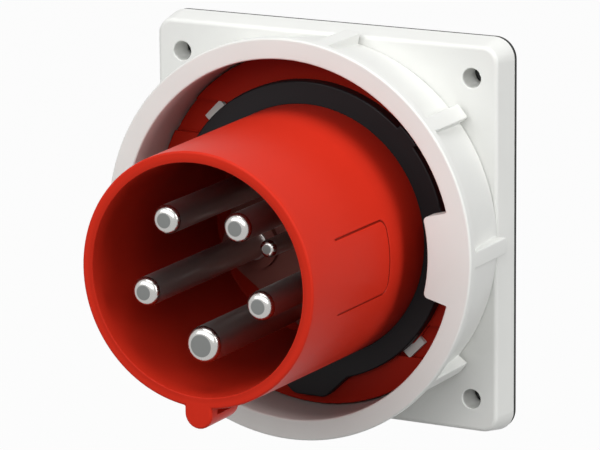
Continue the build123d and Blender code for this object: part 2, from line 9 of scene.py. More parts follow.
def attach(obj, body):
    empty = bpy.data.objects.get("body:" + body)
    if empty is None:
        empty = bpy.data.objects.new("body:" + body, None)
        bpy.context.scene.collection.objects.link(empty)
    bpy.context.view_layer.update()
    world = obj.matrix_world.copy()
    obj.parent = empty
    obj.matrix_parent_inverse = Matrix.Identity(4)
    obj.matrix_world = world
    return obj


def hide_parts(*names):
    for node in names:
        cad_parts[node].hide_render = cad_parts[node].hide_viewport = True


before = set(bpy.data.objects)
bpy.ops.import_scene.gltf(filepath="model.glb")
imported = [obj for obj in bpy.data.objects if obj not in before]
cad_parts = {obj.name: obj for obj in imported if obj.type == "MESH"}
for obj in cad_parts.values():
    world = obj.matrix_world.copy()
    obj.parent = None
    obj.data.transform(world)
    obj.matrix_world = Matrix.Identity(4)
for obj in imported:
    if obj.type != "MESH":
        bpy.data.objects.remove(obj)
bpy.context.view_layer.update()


# Panel gasket: a sheet of black rubber die-cut to the flange's outline. It lies loose behind
# the flange and is pressed against the panel by the four corner screws, which its holes grip.
# Its edge shows as a thin black line on the right.
MM = 0.001
screw_pitch, screw_hole, gasket_hole, hole_margin = 90.0, 5.5, 4.6, 0.3
drift_scale, colour_drift, gloss_drift = 60.0, 0.035, 0.1
grain_scale, grain_detail, grain_depth = 900.0, 3.0, 0.01 * MM
# Share of the colour that is left where the painted shade is full
painted_shade_dimming = 0.42


class Field:
    """A number or a colour that changes over a surface. Sums, differences and products of it
    add Math nodes."""

    def __init__(self, nodes, socket):
        self.nodes, self.socket = nodes, socket

    def maths(self, operation, first, second):
        return self.nodes.node("ShaderNodeMath", {"operation": operation}, {0: first, 1: second})

    def __add__(self, other):
        return self.maths("ADD", self, other)

    def __sub__(self, other):
        return self.maths("SUBTRACT", self, other)

    def __rsub__(self, other):
        return self.maths("SUBTRACT", other, self)

    def __mul__(self, other):
        return self.maths("MULTIPLY", self, other)

    __radd__ = __add__
    __rmul__ = __mul__


class Nodes:
    """The nodes of a material or of the world."""

    def __init__(self, tree):
        self.tree = tree

    def node(self, kind, settings=None, values=None, output=0):
        """Add a node: its settings first, then a number, a colour or a link for each socket."""
        made = self.tree.nodes.new(kind)
        for setting, value in (settings or {}).items():
            setattr(made, setting, value)
        for key, value in (values or {}).items():
            self.supply(made.inputs[key], value)
        return Field(self, made.outputs[output]) if made.outputs else None

    def supply(self, socket, value):
        """Link a socket to a field, or set it to a number or a colour."""
        if isinstance(value, Field):
            self.tree.links.new(value.socket, socket)
        else:
            socket.default_value = value


class Finish(Nodes):
    """A material. Whatever varies is worked out from the piece's own coordinates."""

    def __init__(self, name, **constants):
        self.material = bpy.data.materials.new(name)
        self.material.use_nodes = True
        super().__init__(self.material.node_tree)
        self.surface = self.tree.nodes["Principled BSDF"]
        self.place = self.node("ShaderNodeTexCoord", output="Object")
        self.feed(**constants)

    def feed(self, **inputs):
        """Supply the shader's sockets, named with an underscore for each space."""
        for name, value in inputs.items():
            self.supply(self.surface.inputs[name.replace("_", " ")], value)

    def along(self, axis):
        """Place along x, y or z in millimetres."""
        return self.node("ShaderNodeSeparateXYZ", None, {0: self.place}, output=axis) * (1 / MM)

    def depth(self):
        """Distance before the panel's face in millimetres."""
        return -1 * self.along("Y")

    def noise(self, scale, detail=2.0, stretch=(1, 1, 1)):
        place = self.node("ShaderNodeMapping", {"vector_type": "POINT"},
                          {"Vector": self.place, "Scale": stretch})
        return self.node("ShaderNodeTexNoise", {"noise_dimensions": "3D"},
                         {"Vector": place, "Scale": scale, "Detail": detail})

    def ramp(self, value, first, last):
        """0 where the value is first, 1 where it is last, and even between."""
        return self.node("ShaderNodeMapRange", {"clamp": True}, {0: value, 1: first, 2: last})

    def blend(self, factor, low, high):
        low, high = (colour if isinstance(colour, Field) else (*colour, 1) for colour in (low, high))
        return self.node("ShaderNodeMix", {"data_type": "RGBA"}, {0: factor, 6: low, 7: high}, output=2)

    def relief(self, height, depth):
        return self.node("ShaderNodeBump", None, {"Height": height, "Distance": depth, "Strength": 1.0})


def moulded(name, colour, roughness, painted_shade=None, **constants):
    """Moulded plastic or rubber: colour and gloss drift a little, and a fine even grain lies on it.
    Where the given function of depth and squared radius in millimetres is 1, the colour is
    darkened: painted shade, standing in for the shade in hollows."""
    finish = Finish(name, **constants)
    drift = finish.noise(drift_scale)
    grain = finish.noise(grain_scale, grain_detail)
    low = tuple((1 - colour_drift) * c for c in colour)
    high = tuple(min(1.0, (1 + colour_drift) * c) for c in colour)
    base = finish.blend(drift, low, high)
    # Painted shade: darken the colour where the given function's share is 1
    if painted_shade:
        x, z = finish.along("X"), finish.along("Z")
        shaded = painted_shade(finish, finish.depth(), x * x + z * z)
        base = finish.blend(shaded, base, tuple(painted_shade_dimming * c for c in colour))
    finish.feed(Base_Color=base,
                Roughness=roughness * (1 - gloss_drift + 2 * gloss_drift * drift),
                Normal=finish.relief(grain, grain_depth))
    return finish.material


def dress(finish, *nodes):
    """Give nodes whose shape is already right a finish of their own."""
    for node in nodes:
        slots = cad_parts[node].data.materials
        slots.clear()
        slots.append(finish)


def stand_for(piece, body, node):
    """The piece moves with a body and is shown in the node's place."""
    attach(piece, body)
    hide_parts(node)


def merged_copy(node, name):
    """A copy of a node's mesh with its loose triangles joined, and its points in millimetres."""
    merged = bmesh.new()
    merged.from_mesh(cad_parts[node].data)
    bmesh.ops.remove_doubles(merged, verts=merged.verts, dist=0.001 * MM)
    mesh = bpy.data.meshes.new(name)
    merged.to_mesh(mesh)
    merged.free()
    if "custom_normal" in mesh.attributes:
        mesh.attributes.remove(mesh.attributes["custom_normal"])
    places = np.empty(3 * len(mesh.vertices))
    mesh.vertices.foreach_get("co", places)
    return mesh, places.reshape(-1, 3) / MM


def move_points(mesh, places):
    """Put a mesh's points at places in millimetres."""
    mesh.vertices.foreach_set("co", (places * MM).ravel())
    mesh.update()


def show(mesh, finish, sharp):
    """A piece with the mesh's name. Edges over so many degrees stay sharp, and large faces
    carry the shading over the small ones beside them."""
    mesh.shade_smooth()
    mesh.set_sharp_from_angle(angle=radians(sharp))
    mesh.materials.clear()
    mesh.materials.append(finish)
    piece = bpy.data.objects.new(mesh.name, mesh)
    bpy.context.scene.collection.objects.link(piece)
    piece.modifiers.new("even_normals", "WEIGHTED_NORMAL").keep_sharp = True
    return piece


def gasket_sheet():
    """Merged copy of the gasket's solid with tighter screw holes: a point that is less than the
    margin outside a flange hole's radius is drawn in to the smaller radius."""
    mesh, places = merged_copy("flange_gasket", "flange_gasket_sheet")
    across = places[:, [0, 2]]
    centre = np.sign(across) * screw_pitch / 2
    reach = np.linalg.norm(across - centre, axis=1, keepdims=True)
    drawn = centre + (across - centre) * gasket_hole / 2 / reach
    places[:, [0, 2]] = np.where(reach < screw_hole / 2 + hole_margin, drawn, across)
    move_points(mesh, places)
    return mesh


sheet_rubber = moulded("sheet_rubber", (0.012, 0.012, 0.012), 0.75, Specular_IOR_Level=0.3)
gasket = show(gasket_sheet(), sheet_rubber, sharp=40.0)
stand_for(gasket, "housing", "flange_gasket")


# Mounting flange: a drafted plate of light-grey thermoplastic with a hub for the ring and two
# latch hooks, moulded in one with a satin, finely grained skin. Four screws hold it on the
# panel. Inside the ring's bore its colour is darkened with painted shade, standing in for
# the shade that falls there.
ring_shade, ring_shade_radii, ring_shade_depths = 0.55, (50.9, 50.6), (32.5, 26.0)


def ring_painted_shade(finish, depth, square):
    """Painted shade: a share of 1 inside the ring's bore, fading towards the bore's front edge."""
    inside = finish.ramp(square, *(radius ** 2 for radius in ring_shade_radii))
    return ring_shade * inside * finish.ramp(depth, *ring_shade_depths)


grey = moulded("light_grey_moulding", (0.78, 0.785, 0.76), 0.38, ring_painted_shade, Specular_IOR_Level=0.3)
dress(grey, "mounting_flange")


# Seal in the hub's groove and the two screws behind it: a square black rubber ring and
# zinc-plated slotted screws. They hold the sleeve's base plate down on the flange.
patch_scale, marks_scale, marks_stretch = 180.0, 900.0, (0.02, 1, 0.02)
zinc_colour, zinc_roughness, zinc_marks_depth = (0.55, 0.55, 0.53), 0.3, 0.0015 * MM


def turned_metal(name):
    """A metal finish, a patchy noise, and fine turning marks that run round the axis."""
    finish = Finish(name, Metallic=1.0)
    return finish, finish.noise(patch_scale), finish.noise(marks_scale, 1.0, marks_stretch)


def zinc_plated():
    """Zinc on steel screws: the gloss drifts by a quarter either way, the colour only a little."""
    finish, patches, marks = turned_metal("zinc_plate")
    finish.feed(Base_Color=finish.blend(patches, tuple(0.96 * c for c in zinc_colour), zinc_colour),
                Roughness=zinc_roughness * (0.75 + 0.5 * patches),
                Normal=finish.relief(marks, zinc_marks_depth))
    return finish.material


rubber = moulded("black_rubber", (0.009, 0.008, 0.009), 0.5, Specular_IOR_Level=0.18)
zinc = zinc_plated()
dress(rubber, "housing_seal")
dress(zinc, "housing_screws")


# Bayonet ring: the same light-grey moulding, free to turn on the flange's hub. Nine grip ribs
# stand on its outside, and two inner lugs draw the mating half tight. A notch in its rear lip
# runs over the flange's travel stop.
ring_bore, ring_lip, ring_notch, lug_bore = 50.4, 46.5, 48.5, 43.2
ring_back, ring_lip_front, ring_front = 9.8, 12.4, 33.0
ring_heel, ring_neck, ring_band, ring_round = 52.8, 54.7, 56.25, 0.6
neck_front, band_back, ring_mean, heel_chamfer, heel_bore = 30.0, 30.4, 55.0, 0.1, 50.6
rib_back, rib_half, rib_corner, rib_round, rib_angles = 10.6, 2.25, 0.8, 0.35, np.arange(9) * 40.0
lug_half, lug_thick, lug_corner, lug_root, lug_slope = 14.6, 4.2, 1.2, 0.5, 4.0
bore_edge, lug_edge, lug_rear_edge = 0.5, 0.35, 0.3
notch_middle, notch_half, notch_step = 110.0, 24.36, 0.02
ring_step, rib_clear, lug_clear = 2.5, 3.4, 1.9


def shell(name, points, finish):
    """Closed skin over a grid of (x, depth, z) points in millimetres.

    A point lies at (x, -depth, z) in metres. Rows and columns both join end to end, and each
    four neighbours make a face. Points that fall together are made one, so that a row can close
    to a pole and an edge that has no length goes away. If the volume, a sixth of the sum of
    a . (b x c) over the faces, is below nothing, the skin is turned the right way out.
    """
    rows, columns = points.shape[:2]
    places = (points * (MM, -MM, MM)).reshape(-1, 3)
    kept, merged = np.unique(np.round(places, 7), axis=0, return_inverse=True)
    here = merged.reshape(rows, columns)
    beside = np.roll(here, -1, axis=1)
    faces = np.stack([here, beside, np.roll(beside, -1, axis=0), np.roll(here, -1, axis=0)], -1)
    faces = faces.reshape(-1, 4)
    same = faces == np.roll(faces, -1, axis=1)
    whole = faces[same.sum(1) == 0]
    whole = whole[(whole[:, 0] != whole[:, 2]) & (whole[:, 1] != whole[:, 3])]
    pinched = same.sum(1) == 1
    thirds = faces[pinched][~same[pinched]].reshape(-1, 3)
    cuts = np.concatenate([whole[:, [0, 1, 2]], whole[:, [0, 2, 3]], thirds])
    a, b, c = kept[cuts[:, 0]], kept[cuts[:, 1]], kept[cuts[:, 2]]
    if np.einsum("ij,ij->i", a, np.cross(b, c)).sum() < 0:
        whole, thirds = whole[:, ::-1], thirds[:, ::-1]
    mesh = bpy.data.meshes.new(name)
    mesh.from_pydata(kept.tolist(), [], whole.tolist() + thirds.tolist())
    return show(mesh, finish, sharp=40.0)


def spread(first, last, count):
    """So many even steps from first to last."""
    return np.linspace(first, last, count)


def quarter(count):
    """So many angles of a quarter turn, in radians, for a rounding."""
    return np.radians(spread(0, 90, count))


def between(angle, other):
    """Degrees from one angle to another, the shorter way round."""
    return np.abs((angle - other + 180) % 360 - 180)


def from_lug(angle):
    """Degrees to the middle of the nearer lug, at 0 or 180 degrees."""
    return abs((angle + 90) % 180 - 90)


def ring_columns():
    """Columns round the ring, each a row of (angle, inner radius, rib terms).

    The rib terms p, q, u, h, g, v place a column on a rib of half-width w, root fillet f, top
    rounding t and height H: it stands p w + q f + u t beside the middle and h H + g f + v t
    above the ring. Lug columns follow the lug's outline: root fillet, radial side, corner.
    """
    columns = []
    plain = (0.0,) * 6
    for angle in np.arange(0, 360, ring_step):
        near_rib = between(angle, rib_angles).min() < rib_clear
        if not near_rib and abs(from_lug(angle) - lug_half) > lug_clear:
            columns.append((angle, lug_bore if from_lug(angle) < lug_half else ring_bore, *plain))
    side = [(1, 1 - sin(t), 0, 0, 1 - cos(t), 0) for t in quarter(4)]
    side += [(1, 0, -(1 - cos(t)), 1, 0, -(1 - sin(t))) for t in quarter(4)]
    side.append((0.5, 0, -0.5, 1, 0, 0))
    for middle in rib_angles:
        radius = lug_bore if from_lug(middle) < lug_half else ring_bore
        columns.append((middle, radius, 0, 0, 0, 1, 0, 0))
        for hand in (-1, 1):
            columns += [(middle, radius, hand * p, hand * q, hand * u, h, g, v)
                        for p, q, u, h, g, v in side[::-hand]]
    outline = [(lug_half + np.degrees(lug_root * (1 - sin(t)) / ring_bore),
                ring_bore - lug_root * (1 - cos(t))) for t in quarter(4)]
    outline += [(lug_half, radius)
                for radius in spread(ring_bore - lug_root, lug_bore + lug_corner, 4)[1:-1]]
    outline += [(lug_half - np.degrees(lug_corner * (1 - cos(t)) / lug_bore),
                 lug_bore + lug_corner * (1 - sin(t))) for t in quarter(6)]
    for middle in (0, 180):
        for hand in (-1, 1):
            columns += [((middle + hand * offset) % 360, radius, *plain)
                        for offset, radius in outline[::-hand]]
    for end in (notch_middle - notch_half, notch_middle + notch_half):
        columns += [(end + step, ring_bore, *plain) for step in (-notch_step, notch_step)]
    return np.array(columns).T


def ring_grid():
    """Section of the ring, taken along the columns.

    Rows run from the rear edge up the outside, over the front and back down the inside. Outside
    a rib, the radius is that of the turned body, a cone between rear and neck, a bevel and a
    band with a rounded front. The ribs are as high as the band. Their rear corners are round:
    at a distance d from the end, the half-width is w - c + the square root of c^2 - (c - d)^2.
    A rib's fillet and rounding each take 0.45 of its height at most.
    The rear face of a lug slopes by s, so its depth falls by r tan(s) sin(2 a) / 2 with the
    angle a. Bare depths and radii only space the rows.
    """
    angle, lug, p, q, u, h, g, v = ring_columns()
    nominal = (angle + np.degrees((p * rib_half + (q + u) * rib_round) / ring_mean)) % 360
    order = np.argsort(nominal, kind="stable")
    angle, lug, nominal, p, q, u, h, g, v = np.array([angle, lug, nominal, p, q, u, h, g, v])[:, order]

    # Outside, from the rear edge to the front face
    ends = np.array([0, 0.02, 0.08, 0.18, rib_round, 0.55, rib_corner])
    bevel = [*(neck_front + np.array([-0.6, -0.2, -0.05, 0.05])),
             *(band_back + np.array([-0.2, -0.05, 0.05, 0.4, 1.1]))]
    depth = np.concatenate([[ring_back, ring_back + heel_chamfer], rib_back + ends,
                            spread(13, 28, 8), bevel])
    body = np.interp(depth, [ring_back, neck_front, band_back, ring_front],
                     [ring_heel, ring_neck, ring_band, ring_band])
    body[0] = ring_heel - heel_chamfer
    end = np.clip(depth - rib_back, 0, rib_corner)
    end_drop = rib_round - np.sqrt(rib_round ** 2 - (rib_round - np.minimum(end, rib_round)) ** 2)
    rise = np.maximum(np.maximum(ring_band - body, 0) - end_drop, 0)
    rise[depth <= rib_back] = 0
    width = rib_half - rib_corner + np.sqrt(rib_corner ** 2 - (rib_corner - end) ** 2)
    blend = np.minimum(rib_round, 0.45 * rise)
    offset = p * width[:, None] + (q + u) * blend[:, None]
    radius = body[:, None] + h * rise[:, None] + (g + v) * blend[:, None]
    turned = np.radians(angle + np.degrees(offset / ring_mean))
    outside = np.stack([radius * np.cos(turned), np.broadcast_to(depth[:, None], radius.shape),
                        radius * np.sin(turned)], -1)

    # Front edge, front face, inner edge and the inside back to the rear lip
    turned = np.radians(nominal)
    one = np.ones_like(turned)
    lip = np.where(between(nominal, notch_middle) < notch_half, ring_notch, ring_lip)
    edge = np.where(lug < ring_bore - 0.2, lug_edge, bore_edge)
    back_edge = lug_rear_edge * np.clip((ring_bore - lug) / 0.6, 0, 1)
    lean = tan(radians(lug_slope)) * np.sin(2 * turned) / 2
    rear = ring_front - lug_thick - lug * lean
    inner = [(one * (ring_band - ring_round * (1 - cos(t))), one * (ring_front - ring_round * (1 - sin(t))))
             for t in quarter(6)]
    inner += [(one * level, one * ring_front) for level in (55.2, 53.0, ring_bore + 0.5)]
    inner += [(lug + edge * (1 - sin(t)), ring_front - edge * (1 - cos(t))) for t in quarter(4)]
    inner += [(lug, ring_front - edge - 1.2), (lug, rear + back_edge + 0.6)]
    inner += [(lug + back_edge * (1 - cos(t)), rear + back_edge * (1 - sin(t))) for t in quarter(4)]
    inner += [(one * ring_bore, ring_front - lug_thick - ring_bore * lean)]
    inner += [(one * ring_bore, one * level) for level in (24, 18, ring_lip_front)]
    inner += [(lip, one * ring_lip_front), (lip, one * ring_back), (one * heel_bore, one * ring_back)]
    inside = np.stack([np.stack([r * np.cos(turned), level, r * np.sin(turned)], -1) for r, level in inner])
    return np.concatenate([outside, inside])


ring = shell("bayonet_ring_moulding", ring_grid(), grey)
stand_for(ring, "ring", "bayonet_ring")


# Sleeve: red thermoplastic with its base plate, floor and skirt in one moulding, tapered to
# leave the mould. The key under its rim is open at both flanks, a hairline groove marks the bare
# label field on its right, and two recessed pads take the flange's latch hooks.
rim_outer, rim_inner, sleeve_front, rim_round, rim_bore_round = 34.8, 31.7, 82.6, 0.7, 0.3
outer_draft, inner_draft = tan(radians(0.8)), tan(radians(1.1))
plate_back, plate_front, plate_radius, plate_round, plate_chamfer = 12.7, 16.3, 49.9, 0.4, 0.2
pad_low, pad_high, pad_depth, pad_radius = 23.6, 33.3, 1.5, 42.4
hook_angles, hook_half, hook_notch = (135.5, -44.5), 4.9, 0.9
floor_back, floor_bore, floor_edge, floor_fillet = 13.8, 30.43, 0.2, 0.4
flat_reach, flat_angle, flat_turn = 25.3, -126, 72
skirt_outer, skirt_bore, skirt_back, skirt_edge = 37.5, 34.5, -8.0, 0.3
key_half, key_reach, key_rear, key_fillet, key_heel = 4.1, 40.6, 65.6, 0.5, 3.0
flank_top, flank_foot, foot_angle, key_steps = 35.0, 36.0, 4.2, 15
pocket_top, pocket_back, pocket_front, pocket_inset, pocket_steps = 35.15, 70.3, 79.3, 2.2, slice(5, 8)
label_back, label_end, label_high, label_low, label_round = 39.5, 66.5, 11.17, -9.23, 3.0
label_half_line, label_depth, label_flank, label_step = 0.25, 0.35, 0.12, 0.19
wall_step, wall_clear = 3.0, 0.9
pad_middle_radius = (pad_radius + plate_radius) / 2
pad_start, pad_end = np.degrees(np.arcsin(np.array([pad_low, pad_high]) / pad_middle_radius))
sleeve_shade_radii, sleeve_shade_depths, rim_shade = (33.4, 32.4), (82.0, 50.0), 0.25
root_shade, root_shade_depths = 0.75, (40.0, 18.0)
line_shade_squares, line_shade_radii, line_shade_ends = (4.0, 12.0), (34.0, 34.2), (2.5, 0.5)


def sleeve_wall(depth):
    """Radius of the sleeve's outside, which widens by the draft towards the base plate."""
    return rim_outer + (sleeve_front - depth) * outer_draft


def sleeve_columns():
    """Columns round the sleeve: angle, height of a label column, place on the key, pad, pocket.

    The place on the key counts from 1 at its side to 15 at the bottom of its foot, with a minus
    sign on the left, and is 0 elsewhere. Columns stand closer on the key and along the label's
    lines, and two share an angle where a pad begins.
    """
    columns = []
    label_heights = np.concatenate([np.arange(label_low - 0.5, label_low + label_round + 0.4, label_step),
                                    np.arange(label_high - label_round - 0.3, label_high + 0.6, label_step)])
    label_angles = np.degrees(np.arcsin(label_heights / sleeve_wall((label_back + label_end) / 2)))
    columns += [(angle, height, 0, 0, 0) for angle, height in zip(label_angles, label_heights)]
    for start in (180, 360):
        columns += [(start - pad_end, np.nan, 0, 0, 0), (start - pad_end, np.nan, 0, 1, 0),
                    (start - pad_start, np.nan, 0, 1, 0), (start - pad_start, np.nan, 0, 0, 0)]
    half_key = np.degrees(np.arcsin((key_half + key_fillet) / (rim_outer + key_fillet)))
    pushed = np.zeros(key_steps)
    pushed[pocket_steps] = 1
    share = spread(1, 0, key_steps)
    for hand in (-1, 1):
        side = [(270 + hand * half_key * s, np.nan, hand * (k + 1), 0, push)
                for k, (s, push) in enumerate(zip(share, pushed))]
        columns += side[::-hand] if hand < 0 else side[:-1][::-1]
    taken = np.array([column[0] for column in columns]) % 360
    for angle in np.arange(0, 360, wall_step):
        in_key = abs(angle - 270) < half_key
        in_pad = any(start - pad_end < angle < start - pad_start for start in (180, 360))
        if between(angle, taken).min() > wall_clear and not in_key:
            columns.append((angle, np.nan, 0, float(in_pad), 0))
    columns = np.array(columns, float).T
    return columns[:, np.argsort(columns[0] % 360, kind="stable")]


def key_outline(place, radius, inset):
    """Points (x, z) of the key's outline, drawn in by an inset all round.

    From the sleeve's circle a fillet turns into the flank, which runs straight down to the foot,
    a half circle. Place 1 is where the fillet leaves the circle and 15 the bottom of the foot.
    """
    hand, step = np.sign(place), np.abs(place) - 1
    half = key_half - inset
    centre_x = half + key_fillet
    centre_z = -np.sqrt((radius + key_fillet) ** 2 - centre_x ** 2)
    start = np.arctan2(-centre_z, -centre_x)
    turn = start + (np.pi - start) * np.clip(step / 3, 0, 1)
    foot_centre = -(key_reach - key_half)
    round_foot = np.radians(np.interp(step, [7, 8, 9, 14], [foot_angle, foot_angle, 15, 90]))
    fillet = (centre_x + key_fillet * np.cos(turn), centre_z + key_fillet * np.sin(turn))
    flank = (half, -np.interp(step, [3, 4, 5, 6], [flank_top, pocket_top, pocket_top, flank_foot]))
    foot = (half * np.cos(round_foot), foot_centre - half * np.sin(round_foot))
    x, z = (np.select([step <= 3, step < 7], [a, b], c) for a, b, c in zip(fillet, flank, foot))
    return hand * x, np.where((step > 3) & (step < 7), np.minimum(z, centre_z), z)


def label_groove(depth, height):
    """How far the label's groove sinks the wall: full depth within half a line's width of a
    rectangle with rounded rear corners, whose front side is left open."""
    far = 9.0
    middle, half = (label_high + label_low) / 2, (label_high - label_low) / 2
    along = label_back + label_round - depth
    across = np.abs(height - middle) - (half - label_round)
    corner = np.hypot(np.maximum(along, 0), np.maximum(across, 0)) - label_round
    outside = corner + np.minimum(np.maximum(along, across), 0)
    distance = np.abs(np.where((along > 0) | (across > 0), outside, far))
    sunk = np.clip((label_half_line + label_flank / 2 - distance) / label_flank, 0, 1)
    return label_depth * sunk * (depth < label_end + 0.01)


def sleeve_grid():
    """Section of the sleeve, taken along the columns.

    Rows run from the floor up the inside, over the rim, back along the outside, out over the
    base plate and round its edge to the skirt. The floor is open inside five flats, so its edge
    lies at the flat's reach over the cosine of the angle from its middle. The plate's columns
    lean so that a pad's edges keep one height z at every radius. Bare depths and radii only
    space the rows.
    """
    angle, height, place, pad, pushed = sleeve_columns()
    turned = np.radians(angle)
    one = np.ones_like(turned)
    labelled = ~np.isnan(height)
    keyed = place != 0
    rows = []

    def round_axis(radius, depth, around=turned):
        rows.append(np.stack([radius * np.cos(around), one * depth, radius * np.sin(around)], -1))

    def outside(depth, inset=0.0, key=False, pocket=False, groove=False):
        radius = sleeve_wall(depth) - inset
        around = np.where(labelled, np.arcsin(np.nan_to_num(height) / radius), turned)
        level = np.where(np.cos(around) > 0, radius * np.sin(around), 99)
        wall = radius - (label_groove(depth, level) if groove else 0)
        x, z = wall * np.cos(around), wall * np.sin(around)
        if key:
            rear = max(key_heel - (depth - key_rear), 0)
            drawn = inset + key_heel - np.sqrt(key_heel ** 2 - rear ** 2)
            key_x, key_z = key_outline(place, radius, drawn)
            key_x = key_x - np.sign(place) * pocket_inset * pushed * pocket
            x, z = np.where(keyed, key_x, x), np.where(keyed, key_z, z)
        rows.append(np.stack([x, one * depth, z], -1))

    # Floor, inside and rim
    flat = (angle - flat_angle + flat_turn / 2) % flat_turn - flat_turn / 2
    edge = np.minimum(floor_bore, flat_reach / np.cos(np.radians(flat)))
    round_axis(edge, floor_back)
    round_axis(edge, plate_front - floor_edge)
    round_axis(np.minimum(edge + floor_edge, floor_bore), plate_front)
    round_axis(np.maximum(edge, floor_bore - floor_fillet), plate_front)
    round_axis(floor_bore, plate_front + floor_fillet)
    for depth in spread(20, sleeve_front - 0.5, 9):
        round_axis(floor_bore + (depth - plate_front) * inner_draft, depth)
    for t in quarter(4)[1:]:
        round_axis(rim_inner + rim_bore_round * (1 - cos(t)), sleeve_front - rim_bore_round * (1 - sin(t)))
    round_axis(33.2, sleeve_front)
    round_axis(rim_outer - rim_round, sleeve_front)

    # Outside with the key and the label's groove
    for t in quarter(6)[::-1]:
        outside(sleeve_front - rim_round * (1 - sin(t)), rim_round * (1 - cos(t)), key=True)
    outside(80.6, key=True)
    outside(pocket_front, key=True)
    for depth in spread(pocket_front, pocket_back, 4):
        outside(depth, key=True, pocket=True)
    outside(pocket_back, key=True)
    for rear in (3.0, 2.2, 1.5, 0.9, 0.4, 0.12, 0.0):
        outside(key_rear + rear, key=True, groove=True)
    outside(key_rear, groove=True)
    across_line = np.arange(label_back + 3.7, label_back - 0.8, -label_step)
    for depth in (*spread(64, 45, 9), *across_line, *spread(37.5, 20, 6), plate_front):
        outside(depth, groove=True)

    # Base plate with its pads, and the skirt behind it
    lean = (180 - angle) % 180
    share = np.interp(lean, [18, pad_start, pad_end, 62], [0, 1, 1, 0])
    hook = np.minimum(*(between(angle, middle) for middle in hook_angles))
    pad_edge = np.where(hook < hook_half, pad_radius - hook_notch, pad_radius)
    level = plate_front - pad_depth * pad

    def over_plate(radius, depth):
        height_share = pad_middle_radius * np.sin(np.radians(lean)) / radius
        straight = np.degrees(np.arcsin(np.clip(height_share, -1, 1)))
        round_axis(radius, depth, np.radians(angle - share * (straight - lean)))

    round_axis(sleeve_wall(plate_front) + 0.6, plate_front)
    over_plate(39.5, plate_front)
    over_plate(pad_edge, plate_front)
    for radius in (pad_edge, 44.5, 47.0, plate_radius - plate_round):
        over_plate(radius, level)
    for t in quarter(4)[2::-1]:
        over_plate(plate_radius - plate_round * (1 - cos(t)), level - plate_round * (1 - sin(t)))
    over_plate(plate_radius, plate_back + plate_chamfer)
    over_plate(plate_radius - plate_chamfer, plate_back)
    round_axis(skirt_outer, plate_back)
    round_axis(skirt_outer, skirt_back + skirt_edge)
    round_axis(skirt_outer - skirt_edge, skirt_back)
    round_axis(skirt_bore + skirt_edge, skirt_back)
    round_axis(skirt_bore, skirt_back + skirt_edge)
    round_axis(skirt_bore, floor_back)
    return np.stack(rows)


def sleeve_painted_shade(finish, depth, square):
    """Share of painted shade, which darkens the colour where shade falls. Inside the sleeve, from
    the rim's share up to 1. In the label's groove, where the squared radius falls short of the
    wall's, 1. Outside, up to the root's share at the sleeve's root."""
    inside = finish.ramp(square, *(radius ** 2 for radius in sleeve_shade_radii))
    wall = rim_outer + outer_draft * (sleeve_front - depth)
    line = (finish.ramp(wall * wall - square, *line_shade_squares)
            * finish.ramp(square, *(radius ** 2 for radius in line_shade_radii))
            * finish.ramp(depth, *(label_end + end for end in line_shade_ends)))
    return (inside * (rim_shade + (1 - rim_shade) * finish.ramp(depth, *sleeve_shade_depths)) + line
            + (1 - inside) * root_shade * finish.ramp(depth, *root_shade_depths))


# The red carries painted shade deep in the bore, in the label's groove and round the root
red = moulded("red_moulding", (0.6, 0.027, 0.012), 0.36, sleeve_painted_shade, Specular_IOR_Level=0.06)
sleeve = shell("inlet_sleeve_moulding", sleeve_grid(), red)
stand_for(sleeve, "housing", "inlet_sleeve")


# Face seal: black rubber, laid on the base plate round the sleeve. Its lobe hangs over the
# key's side of the plate, and the small tab is for pulling it off.
dress(rubber, "face_seal")


# Insulating carrier: a dark brown-black thermoset, its nose cut by five flats. Its colour here
# is lighter and redder: painted light, standing in for the red light the sleeve throws on it.
# A sheet gasket seals it behind the sleeve's floor, and four screws pull it up against that floor.
dark = moulded("dark_thermoset", (0.2, 0.072, 0.058), 0.42, Specular_IOR_Level=0.3)
dress(dark, "contact_carrier")
dress(sheet_rubber, "insert_gasket")
dress(zinc, "carrier_screws")


# Contact pins: turned brass, nickel-plated, with rounded tips. The earth pin is the thick one at
# the bottom, and the short pilot pin stands on the axis. Rubber washers seal their shoulders.
pin_tip, pin_solid_round, pin_round = 80.6, 1.7, 2.2
pilot_tip, pilot_solid_round, pilot_round = 43.8, 1.0, 1.4
# The flat's and the rounding's tones are painted reflection of darker surroundings
nickel_body, nickel_polished, nickel_flat_painted_reflection = (0.62, 0.605, 0.59), (0.5, 0.49, 0.475), (0.185, 0.19, 0.185)
polish_range, flat_range = (-0.4, 0.3), (-0.03, -0.01)


def nickel_plated(name, tip, rounding):
    """Nickel plate on a turned pin: the parted-off flat of its tip is dull, the rounding beside it
    polished, and fine turning marks run round the rest. The flat's dark grey and the rounding's
    darker tone are painted reflection, standing in for the darker surroundings these faces
    mirror. Each change of finish takes a small range of depth about the tip or the start of the
    rounding."""
    finish, patches, marks = turned_metal(name)
    depth = finish.depth()
    flat = finish.ramp(depth, *(tip + step for step in flat_range))
    rounded = finish.ramp(depth, *(tip - rounding + step for step in polish_range))
    polished = finish.blend(rounded, nickel_body, nickel_polished)
    finish.feed(Base_Color=finish.blend(flat, polished, nickel_flat_painted_reflection),
                Roughness=0.33 + 0.06 * patches - 0.14 * rounded + 0.3 * flat,
                Normal=finish.relief(marks, 0.001 * MM))
    return finish.material


